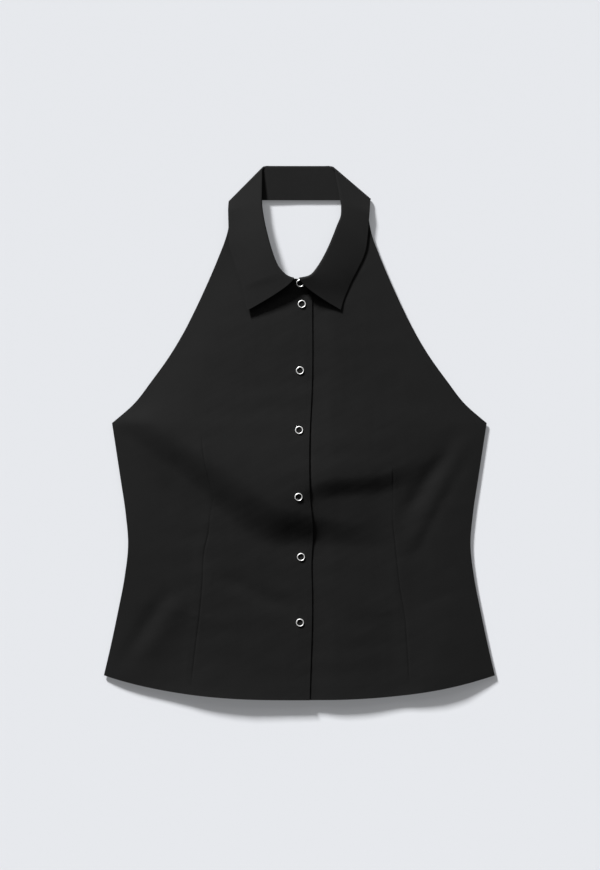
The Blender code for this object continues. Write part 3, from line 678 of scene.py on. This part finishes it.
# Cuts across the strip: share of the neckline, where the roll and the leaf's edge lie, height of the roll,
# its radius, and how far the edge stands off the front.
STRIP = "along roll_x roll_y edge_x edge_y top radius lift"
COLLAR_RIGHT = table(
    STRIP,
    (0.06, 6, 170.6, 57.9, 134.2, 19.7, 1.6, 5.0),
    (0.12, 9.7, 171.6, 60, 145, 19.3, 1.6, 5.1),
    (0.30, 18.5, 177.8, 63.4, 160.5, 18.7, 1.6, 5.2),
    (0.43, 24.1, 185.6, 66.5, 171, 18.2, 1.6, 5.1),
    (0.58, 30.2, 201.7, 71.5, 187, 17.2, 1.6, 4.8),
    (0.73, 35.2, 220, 77.3, 206, 15.4, 1.6, 4.0),
    (0.92, 39.6, 241, 78.6, 232, 12.6, 1.6, 2.1),
    (1.0, 41, 251, 79, 246, 11.2, 1.6, 1.0),
)
COLLAR_LEFT = table(
    STRIP,
    (0.0, -0.4, 170.6, 45.6, 135.4, 21.5, 4.9, 0.5),
    (0.12, 10, 173, 48.6, 146, 19.8, 3.8, 0.0),
    (0.30, 19.2, 182.3, 53.5, 158, 17.3, 2.6, -0.1),
    (0.43, 26, 193.4, 58, 168.5, 15.5, 1.9, 0.0),
    (0.58, 33.5, 209, 64.5, 181, 13.4, 1.6, 0.2),
    (0.73, 41, 228, 72, 197.5, 11.1, 1.6, 0.4),
    (0.92, 46, 243, 76, 222, 8.9, 1.6, 1.0),
    (1.0, 46, 252, 78, 245, 8.2, 1.6, 1.2),
)
FRONT_BEND = {"right": (10.5, 159.8), "left": (6.5, 157.2)}  # draws the leaf's front edge to the centre
FRONT_BEND_END = 0.3  # share of the neckline where that ends
END_STEP = 0.004  # from the strip's end to its next cut
FALL_BOW, FALL_BOW_FADE = 1.2, 1.2  # the leaf bows up between roll and edge, less near the halter tip
INNER_LEG, LEG_GAP = 4.5, 0.05  # the fall's seam allowance inside the roll, and the seam to the stand
ROLL_FLAT = 0.45  # the roll is pressed: its depth over its radius
STAND_ENDS = {  # free ends of the stand: share of the neckline, and depth of the rounded top edge
    "right": ((-0.067, 9.5), (-0.045, 5), (0, 1.4), (0.052, 0.6), (0.0598, 4)),
    "left": ((-0.067, 9.5), (-0.045, 5), (-0.03, 1.8), (-0.02, 1.2), (-0.0123, 8.2)),
}
STAND_END_TOP, STAND_END_CUTS = 170.8, 6  # Y that the depth is measured from, and cuts to a row

# The folds beside the neck, where the strip turns under at a slanting line: which way the line faces, how
# far it lies from the origin and above the table, and where the roll and the leaf's edge meet it.
FOLD = {
    "right": {"faces": 45.33, "at": 235.37, "axis": 2.8, "roll_x": 41.0, "edge_x": 78.6},
    "left": {"faces": 50.08, "at": 247.51, "axis": 2.3, "roll_x": 39.5, "edge_x": 78.6},
}
FOLD_RADIUS = 1.8
MIDDLE_AXIS = 2.3  # what the height of both comes to behind the neck
ROLL_AXIS_ABOVE, ROLL_TOP_ABOVE = 0.4, 3.15  # over the line at the leaf's edge
STRAP_TOP, STRAP_LOW, STAND_BELOW = 295.7, 258.0, 0.6  # its roll, the leaf's edge, the stand's below that
STRAP_OUT = 4.0  # its cuts stand square from this far inside the roll's turn

NECK_STEPS = 56
STAND_ROWS, FALL_STEPS, ROLL_STEPS = 8, 22, 10
FAN_STEPS, TURN_STEPS, OUT_STEPS, STRAP_STEPS = 8, 16, 4, 10


def unit(vector):
    return vector / np.linalg.norm(vector, axis=-1, keepdims=True)


class Fold:
    """The line that one half of the strip turns under."""

    def __init__(self, side):
        self.sizes = FOLD[side]
        faces = math.radians(self.sizes["faces"])
        self.out = np.array([math.cos(faces), math.sin(faces)])
        self.line = np.array([-math.sin(faces), math.cos(faces)])
        self.at = self.sizes["at"]

    def under(self, points, share):
        """Carries the strip, laid out flat past the line, round it and back underneath."""
        axis = self.sizes["axis"] + ROLL_AXIS_ABOVE * share
        plan, z = points[:, :2], points[:, 2]
        past = plan @ self.out - self.at
        angle = np.clip(past / FOLD_RADIUS, 0, math.pi)
        run = np.where(past < 0, past, 0) - np.maximum(past - math.pi * FOLD_RADIUS, 0)
        foot = self.at + run + (z - axis) * np.sin(angle)
        plan = np.outer(foot, self.out) + np.outer(plan @ self.line, self.line)
        return np.column_stack([plan, axis + (z - axis) * np.cos(angle)])

    def laid_out(self, folded):
        """Where points of the folded strap lie once the strip is laid out flat."""
        past = 2 * self.at + math.pi * FOLD_RADIUS - folded @ self.out
        return np.outer(past, self.out) + np.outer(folded @ self.line, self.line)

    def line_at_x(self, x):
        return np.column_stack([x, (self.at - x * self.out[0]) / self.out[1]])

    def line_at_y(self, y):
        return np.column_stack([(self.at - y * self.out[1]) / self.out[0], y])


class StripCut:
    """One cut across the collar strip, laid out flat, with X measured out from the centre."""

    def __init__(self, seam, seam_z, roll, edge, edge_z, top, radius, bend, bow=0.0):
        self.seam = np.array(seam, float)
        self.seam_z = seam_z
        self.edge = np.array(edge, float)
        self.edge_z = edge_z
        self.radius = radius
        self.depth = ROLL_FLAT * radius
        self.high = top - CAD_WALL / 2
        self.low = self.high - 2 * radius
        self.bend = np.array(bend, float)
        self.inward = unit(self.seam - np.array(roll, float))
        self.roll = np.array(roll, float) + self.inward * CAD_WALL / 2
        self.length = np.linalg.norm(self.seam - self.roll) - SEAM_GAP
        self.bow = bow

    def stand_line(self, distance):
        """Points of the stand, or of the fall's inner leg, at distances in from the roll."""
        distance = np.asarray(distance, float)
        share = np.clip((distance - self.depth) / (self.length - self.depth), 0, None)
        plan = self.roll + np.outer(distance, self.inward)
        z = self.low + (self.seam_z - self.low) * share
        return np.column_stack([plan, z]), 1 - distance / self.length

    def stand(self, depth):
        """From the top edge, at a depth below the roll, to the neck seam."""
        return self.stand_line(np.linspace(depth, self.length, STAND_ROWS + 1))

    def fall(self):
        """From the free edge over the roll to the end of the inner leg."""
        outward = unit(self.bend - self.roll)
        start = self.roll + outward * self.depth
        t = np.linspace(1, 0, FALL_STEPS + 1)[:, None]
        plan = (1 - t) ** 2 * start + 2 * t * (1 - t) * self.bend + t**2 * self.edge
        z = self.high + (self.edge_z - self.high) * t + 4 * self.bow * t * (1 - t)
        leaf = np.column_stack([plan, z])
        angles = np.linspace(math.pi / 2, -math.pi / 2, ROLL_STEPS + 1)[1:, None]
        blend = (1 - np.sin(angles)) / 2
        turn = unit(outward * (1 - blend) + self.inward * blend)
        around = self.roll + turn * self.depth * (1 - np.cos(angles))
        round_z = self.low + self.radius * (1 + np.sin(angles))
        leg, leg_share = self.stand_line([self.depth + INNER_LEG / 2, self.depth + INNER_LEG])
        reach = np.linalg.norm(self.edge - self.roll)
        leaf_share = 1 - np.linalg.norm(plan - self.roll, axis=1) / reach
        turn_share = 1 - np.linalg.norm(around - self.roll, axis=1) / reach
        points = np.vstack([leaf, np.column_stack([around, round_z]), leg])
        return points, np.concatenate([leaf_share, turn_share, leg_share])


def neck_cut(rows, along, seam_height, bend):
    """A cut on the neckline, at a share of its length."""
    roll_x, roll_y, edge_x, edge_y, top, radius, lift = (
        read(rows, "along", name, along) for name in STRIP.split()[1:]
    )
    roll, edge = np.array([roll_x, roll_y]), np.array([edge_x, edge_y])
    seam = neck_point(np.array(along))
    edge_z = front_height(edge_x, edge_y) + CAD_GAP + CAD_WALL / 2 + lift
    pull = max(0.0, 1 - (along - rows["along"][0]) / (FRONT_BEND_END - rows["along"][0]))
    first_middle = np.array([rows["roll_" + axis][0] + rows["edge_" + axis][0] for axis in "xy"]) / 2
    control = (roll + edge) / 2 + pull * (np.array(bend) - first_middle)
    bow = FALL_BOW * min(1, FALL_BOW_FADE * (1 - along))
    seam_z = seam_height(*seam) - CAD_WALL / 2
    return StripCut(seam, seam_z, roll, edge, edge_z, top, radius, control, bow)


def strap_cut(plan, heights):
    """A cut past the halter tip, where the strip is free of the front."""
    seam, roll, edge = plan
    seam_z, edge_z, top, radius = heights
    return StripCut(seam, seam_z, roll, edge, edge_z, top, radius, (roll + edge) / 2)


def strap_cuts(rows, fold, last):
    """Cuts from the last one on the neckline through the fold to the middle of the back neck."""
    start = np.array([[NECKLINE["x"][-1], NECKLINE["y"][-1]],
                      [rows["roll_x"][-1], rows["roll_y"][-1]],
                      [rows["edge_x"][-1], rows["edge_y"][-1]]])
    turn = fold.line_at_x(np.array([start[0, 0], fold.sizes["roll_x"], fold.sizes["edge_x"]]))
    across = np.array([STRAP_LOW - STAND_BELOW, STRAP_TOP, STRAP_LOW])
    folded = fold.line_at_y(across)
    turned = fold.laid_out(folded)
    strap = fold.laid_out(np.column_stack([np.full(3, folded[1, 0] - STRAP_OUT), across]))
    middle = fold.laid_out(np.column_stack([np.zeros(3), across]))

    # Heights of the stand, the leaf and the roll, and its radius: the stand lies next to the fold's line.
    axis = fold.sizes["axis"]
    radius = (ROLL_TOP_ABOVE - ROLL_AXIS_ABOVE - (CAD_WALL + LAYER) / 2) / 2
    on_tip = np.array([last.seam_z, last.edge_z, last.high + CAD_WALL / 2, last.radius])
    at_fold = np.array([axis + LAYER / 2, axis + 1.5 * LAYER, axis + ROLL_TOP_ABOVE, radius])
    at_middle = at_fold + (axis - MIDDLE_AXIS) * np.array([1, 1, 1, 0])
    legs = (
        (start, turn, on_tip, at_fold, FAN_STEPS), (turn, turned, at_fold, at_fold, TURN_STEPS),
        (turned, strap, at_fold, at_fold, OUT_STEPS), (strap, middle, at_fold, at_middle, STRAP_STEPS),
    )
    return [
        strap_cut(begin + (end - begin) * k / steps, low + (high - low) * k / steps)
        for begin, end, low, high, steps in legs
        for k in range(1, steps + 1)
    ]


def collar_half(side, rows, seam_height):
    """Cuts of one half of the strip and of the stand's free end, from the centre front to the strap."""
    sign = -1 if side == "right" else 1
    first = rows["along"][0]
    fold = Fold(side)

    def seam(x, y):
        return seam_height(sign * x, y)

    def cut(share):
        made = neck_cut(rows, max(share, first), seam, FRONT_BEND[side])
        if share >= first:
            return made
        at = neck_point(np.array(share))
        roll, top = np.array([at[0], STAND_END_TOP]), made.high + CAD_WALL / 2
        seam_z = seam(*at) - CAD_WALL / 2
        return StripCut(at, seam_z, roll, made.edge, made.edge_z, top, made.radius, made.bend, made.bow)

    def placed(points_and_share):
        points, share = points_and_share
        return fold.under(points, np.clip(share, 0, 1)) * (sign, 1, 1)

    ends = np.array(STAND_ENDS[side])
    end_rows = np.linspace(0, len(ends) - 1, (len(ends) - 1) * STAND_END_CUTS + 1)
    end_shares, end_depths = (np.interp(end_rows, range(len(ends)), ends[:, k]) for k in (0, 1))
    end_cuts = [(cut(share), depth) for share, depth in zip(end_shares, end_depths)]
    cuts = [cut(share) for share in np.append(first, np.linspace(first + END_STEP, 1, NECK_STEPS))]
    cuts += strap_cuts(rows, fold, cuts[-1])
    falls = [placed(made.fall()) for made in cuts]
    stands = [placed(made.stand(depth)) for made, depth in end_cuts]
    stands += [placed(made.stand(made.depth + INNER_LEG + LEG_GAP)) for made in cuts]
    return {"fall": falls, "stand": stands}


def strip_piece(name, part):
    """The collar's fall or stand: a closed sheet about the two halves' middle surface."""
    halves = (right_half[part], left_half[part])
    middle = np.array(halves[0] + halves[1][::-1][1:])

    def directions(grid):
        chords = unit(np.diff(grid, axis=0))
        ends = np.concatenate([chords[:1], chords, chords[-1:]])
        return ends[:-1] + ends[1:]

    across = directions(middle.swapaxes(0, 1)).swapaxes(0, 1)
    out = unit(np.cross(directions(middle), across)) * COLLAR_SHELL / 2
    lengths = np.linalg.norm(np.diff(middle, axis=0), axis=2).mean(axis=1)
    widths = np.linalg.norm(np.diff(middle, axis=1), axis=2)
    along = np.append(0, np.cumsum(lengths))[:, None] + np.zeros(middle.shape[:2])
    weave = np.dstack([along, np.pad(np.cumsum(widths, axis=1), ((0, 0), (1, 0)))])
    return cloth_piece(name, middle - out, middle + out, weave, black_poplin)


right_half = collar_half("right", COLLAR_RIGHT, front_height)
left_half = collar_half("left", COLLAR_LEFT, lap_height)
stand = strip_piece("collar_band", "stand")
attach(stand, "root")
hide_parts("collar_stand")


# ---------------------------------------------------------------------------------------------------
# Collar fall: the pointed leaf that is sewn to the stand's top edge, rolls over it and lies on the
# fronts.  Its right point stands a little off the front.

fall = strip_piece("collar_leaf", "fall")
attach(fall, "root")
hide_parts("collar_fall")


# ---------------------------------------------------------------------------------------------------
# Topstitching: single rows of black thread, sunk in the cloth, round the collar leaf, down the armholes
# and the placket's edge, and round the hem.

STITCH_PITCH, STITCH_LENGTH, THREAD = 2.8, 2.3, 0.30
THREAD_SINK = 0.10  # its middle lies this far below the cloth's face
BEAD_SEGMENTS, BEAD_RINGS = 8, 5
HEM_ALLOWANCE, ARMHOLE_ALLOWANCE, PLACKET_ALLOWANCE, LEAF_ALLOWANCE = 14.0, 7.0, 5.0, 5.0
ARMHOLE_ROW_TOP = 205.0  # under the collar
LAP_CLEAR, UNDERLAP_CLEAR = 1.0, 2.0  # the hem's row ends this far from the placket's free edge
LEAF_ROW_BELOW = 2  # columns of the leaf between its roll and its row
ROW_STEP = 3.0
DROP_FROM = 100.0  # over the table


class Rule:
    """A Geometry Nodes tree that lays one shape on a guide."""

    def __init__(self, name, sizes):
        self.tree = bpy.data.node_groups.new(name, "GeometryNodeTree")
        face = self.tree.interface
        face.new_socket("Geometry", in_out="OUTPUT", socket_type="NodeSocketGeometry")
        face.new_socket("Geometry", in_out="INPUT", socket_type="NodeSocketGeometry")
        self.values = {}
        for size, value in sizes.items():
            socket = face.new_socket(size, in_out="INPUT", socket_type="NodeSocketFloat")
            self.values[socket.identifier] = value
        self.given = self.tree.nodes.new("NodeGroupInput").outputs

    def node(self, kind, settings=None, sockets=None):
        made = add_node(self.tree, kind, settings, sockets)
        return made.outputs[0] if made.outputs else None

    def piece(self, name, guide, shapes, finish):
        """Ends the tree, runs it on a guide mesh and keeps what it makes as a plain mesh."""
        whole = self.node("GeometryNodeRealizeInstances", sockets={"Geometry": shapes})
        painted = self.node("GeometryNodeSetMaterial", sockets={"Geometry": whole, "Material": finish})
        self.node("NodeGroupOutput", sockets={0: painted})
        carrier = in_scene(name, guide)
        modifier = carrier.modifiers.new(name, "NODES")
        modifier.node_group = self.tree
        for identifier, value in self.values.items():
            modifier[identifier] = value
        evaluated = carrier.evaluated_get(bpy.context.evaluated_depsgraph_get())
        made = bpy.data.meshes.new_from_object(evaluated)
        carrier.modifiers.clear()
        carrier.data = made
        made.shade_smooth()
        return carrier


def drop(cloth, plan):
    """Where points of a plan come down on the upper face of a cloth piece, and the way it faces there."""
    tree = BVHTree.FromPolygons(
        [vertex.co for vertex in cloth.data.vertices], [face.vertices[:] for face in cloth.data.polygons]
    )
    down = Vector((0, 0, -1))
    hits = [tree.ray_cast(Vector((x * MM, y * MM, DROP_FROM * MM)), down)[:2] for x, y in plan]
    return [hit for hit in hits if hit[0]]


def walk_in(line, distance):
    """Point at a distance along a line of points."""
    steps = np.append(0, np.cumsum(np.linalg.norm(np.diff(line, axis=0), axis=1)))
    return [np.interp(distance, steps, line[:, axis]) for axis in (0, 1)]


def leaf_row(part):
    """Plan of the row round one half of the leaf, up to its fold."""
    grid = np.array(part)[:NECK_STEPS + 1, :FALL_STEPS + 1, :2]
    front = []
    for k in range(FALL_STEPS - LEAF_ROW_BELOW, -1, -1):
        reach = np.linalg.norm(grid[0, k] - grid[0, 0])
        if reach > LEAF_ALLOWANCE:
            front.append(walk_in(grid[:, k], LEAF_ALLOWANCE))
    side = [
        walk_in(cut, LEAF_ALLOWANCE)
        for cut in grid
        if np.linalg.norm(cut[0] - grid[0, 0]) > LEAF_ALLOWANCE
    ]
    return front + side


def black_thread():
    """Matt spun thread."""
    look = Look("black_thread")
    place = look.node("ShaderNodeTexCoord", output=3)
    fuzz = look.noise(place, 2400.0, 2.0)
    color = look.mix(fuzz, grey(0.0030), grey(0.0050))
    relief = look.bump(fuzz, 0.3, 0.00005)
    return look.surface(
        Base_Color=color, Roughness=0.8 + fuzz * 0.1, Specular_IOR_Level=0.06, Normal=relief
    )


across = np.arange(ROW_STEP, SIDE["half_width"][0] - ROW_STEP, ROW_STEP)
down = np.arange(UNDERARM_Y + ROW_STEP, ARMHOLE_ROW_TOP, ROW_STEP)
placket_y = np.arange(HEM_Y + ROW_STEP, NECKLINE["y"][0] - ROW_STEP, ROW_STEP)
hem_x = {
    -1: np.append(-across[::-1], np.arange(0, placket_edge(HEM_Y) - LAP_CLEAR, ROW_STEP)),
    1: across[across > placket_edge(HEM_Y) + UNDERLAP_CLEAR],
}
rows = []
for sign, cloth in ((-1, front_right), (1, front_left)):
    hem = hem_y(hem_x[sign]) + HEM_ALLOWANCE
    inside = np.abs(hem_x[sign]) < half_width(hem) - ROW_STEP
    rows.append(drop(cloth, np.stack([hem_x[sign], hem], axis=-1)[inside]))
    armhole_x = sign * (half_width(down) - ARMHOLE_ALLOWANCE / ARMHOLE_SLANT)
    rows.append(drop(cloth, np.stack([armhole_x, down], axis=-1)))
rows.append(drop(front_right, np.stack([placket_edge(placket_y) - PLACKET_ALLOWANCE, placket_y], axis=-1)))
rows += [drop(fall, leaf_row(half["fall"])) for half in (right_half, left_half)]

guide = bpy.data.meshes.new("stitch_rows")
starts = np.append(0, np.cumsum([len(row) for row in rows]))
edges = [(k, k + 1) for start, end in zip(starts[:-1], starts[1:]) for k in range(start, end - 1)]
sunk = [point - facing * THREAD_SINK * MM for row in rows for point, facing in row]
guide.from_pydata(sunk, edges, [])

stitching = Rule(
    "stitching", {"Pitch": STITCH_PITCH * MM, "Length": STITCH_LENGTH * MM, "Thread": THREAD * MM}
)
line = stitching.node("GeometryNodeMeshToCurve", sockets={"Mesh": stitching.given["Geometry"]})
places = stitching.node(
    "GeometryNodeResampleCurve", {"mode": "LENGTH"}, {"Curve": line, "Length": stitching.given["Pitch"]}
)
heading = stitching.node(
    "FunctionNodeAlignRotationToVector", {"axis": "X"},
    {"Vector": stitching.node("GeometryNodeInputTangent")},
)
bead = stitching.node(
    "GeometryNodeMeshUVSphere", sockets={"Segments": BEAD_SEGMENTS, "Rings": BEAD_RINGS, "Radius": 0.5}
)
long, thick = stitching.given["Length"], stitching.given["Thread"]
stretch = stitching.node("ShaderNodeCombineXYZ", sockets={"X": long, "Y": thick, "Z": thick})
stitch = stitching.node("GeometryNodeTransform", sockets={"Geometry": bead, "Scale": stretch})
laid = stitching.node(
    "GeometryNodeInstanceOnPoints", sockets={"Points": places, "Instance": stitch, "Rotation": heading}
)
topstitching = stitching.piece("topstitching", guide, laid, black_thread())
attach(topstitching, "root")


# ---------------------------------------------------------------------------------------------------
# Snap rings: the open ring caps of the press snaps, six down the placket and one on the collar stand.
# Each is a rolled ring of bright nickel-plated brass, clinched through the upper layer.

RING_RADIUS, RING_WIDE, RING_HIGH = 3.9, 0.5, 0.95  # to the wire's middle, and its half width and height
RING_ABOVE = 0.35  # the wire's middle over the cloth
RING_SHIFT, STAND_RING_SHIFT = (0.9, -2.1), (0.9, 0.9)  # from the middle of the node that it stands for
RING_STEPS, RING_SECTION = 24, 8
PATCH_TONE = 0.92  # the plate's duller patches


def plated(name, color, rough, patchy, metal):
    """Nickel plate with slight unevenness and fine scratches, dulled a little by a clear lacquer."""
    look = Look(name)
    place = look.node("ShaderNodeTexCoord", output=3)
    cloudy = look.noise(place, 420.0, 3.0)
    scratches = look.streaks(place, (9000, 700, 700))
    tone = look.mix(cloudy, (*(PATCH_TONE * part for part in color), 1), (*color, 1))
    relief = look.bump(scratches, 0.15, 0.00003)
    uneven = rough + cloudy * patchy + scratches * 0.04
    return look.surface(Base_Color=tone, Metallic=metal, Roughness=uneven, Normal=relief)


ring_nodes = [f"snap_ring_{number}" for number in range(1, 8)]
seats = []
for node in ring_nodes:
    middle = np.mean([vertex.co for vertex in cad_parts[node].data.vertices], axis=0) / MM
    on_stand = node == ring_nodes[-1]
    plan = middle[:2] + (STAND_RING_SHIFT if on_stand else RING_SHIFT)
    seats += drop(stand if on_stand else front_right, [plan])


def places_on(seats, name, above):
    """Guide mesh with a point over each seat and the way that it faces."""
    guide = bpy.data.meshes.new(name)
    guide.from_pydata([point + facing * above * MM for point, facing in seats], [], [])
    facings = np.array([facing for _, facing in seats])
    attribute = guide.attributes.new("facing", "FLOAT_VECTOR", "POINT")
    attribute.data.foreach_set("vector", facings.ravel())
    return guide


def set_square(rule, shape):
    """Sets the shape on every point of the guide, square to the cloth."""
    facing = rule.node(
        "GeometryNodeInputNamedAttribute", {"data_type": "FLOAT_VECTOR"}, {"Name": "facing"}
    )
    turn = rule.node("FunctionNodeAlignRotationToVector", {"axis": "Z"}, {"Vector": facing})
    return rule.node(
        "GeometryNodeInstanceOnPoints",
        sockets={"Points": rule.given["Geometry"], "Instance": shape, "Rotation": turn},
    )


ringing = Rule("ring_caps", {"Radius": RING_RADIUS * MM, "Wide": RING_WIDE * MM, "High": RING_HIGH * MM})
circle = ringing.node(
    "GeometryNodeCurvePrimitiveCircle", {}, {"Resolution": RING_STEPS, "Radius": ringing.given["Radius"]}
)
round_wire = ringing.node(
    "GeometryNodeCurvePrimitiveCircle", {}, {"Resolution": RING_SECTION, "Radius": 1.0}
)
section = ringing.node(
    "ShaderNodeCombineXYZ", sockets={"X": ringing.given["Wide"], "Y": ringing.given["High"], "Z": 1.0}
)
wire = ringing.node("GeometryNodeTransform", sockets={"Geometry": round_wire, "Scale": section})
ring = ringing.node("GeometryNodeCurveToMesh", sockets={"Curve": circle, "Profile Curve": wire})
guide = places_on(seats, "ring_places", RING_ABOVE)
bright_nickel = plated("bright_nickel", (0.92, 0.92, 0.91), 0.42, 0.06, 0.7)
rings = ringing.piece("snap_rings", guide, set_square(ringing, ring), bright_nickel)
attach(rings, "root")
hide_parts(*ring_nodes)


# ---------------------------------------------------------------------------------------------------
# Snap studs: the lower halves of the press snaps, flat round studs of brass in a duller plate, held
# between the layers under the rings.

STUD_RADIUS, STUD_THICKNESS, STUD_SIDES = 3.8, 1.0, 14
STUD_CLEAR = 0.2  # of the stand's cloth over it
STUD_BELOW = COLLAR_SHELL + STUD_CLEAR + STUD_THICKNESS / 2  # its middle under the upper layer's face

studding = Rule("studs", {"Radius": STUD_RADIUS * MM, "Depth": STUD_THICKNESS * MM})
broad, deep = studding.given["Radius"], studding.given["Depth"]
disc = studding.node(
    "GeometryNodeMeshCylinder", sockets={"Vertices": STUD_SIDES, "Radius": broad, "Depth": deep}
)
guide = places_on(seats, "stud_places", -STUD_BELOW)
dull_nickel = plated("dull_nickel", (0.45, 0.45, 0.44), 0.38, 0.10, 1.0)
studs = studding.piece("snap_studs", guide, set_square(studding, disc), dull_nickel)
studs.data.set_sharp_from_angle(angle=SHARP_FROM)
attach(studs, "root")
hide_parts(*[f"snap_stud_{number}" for number in range(1, 8)])
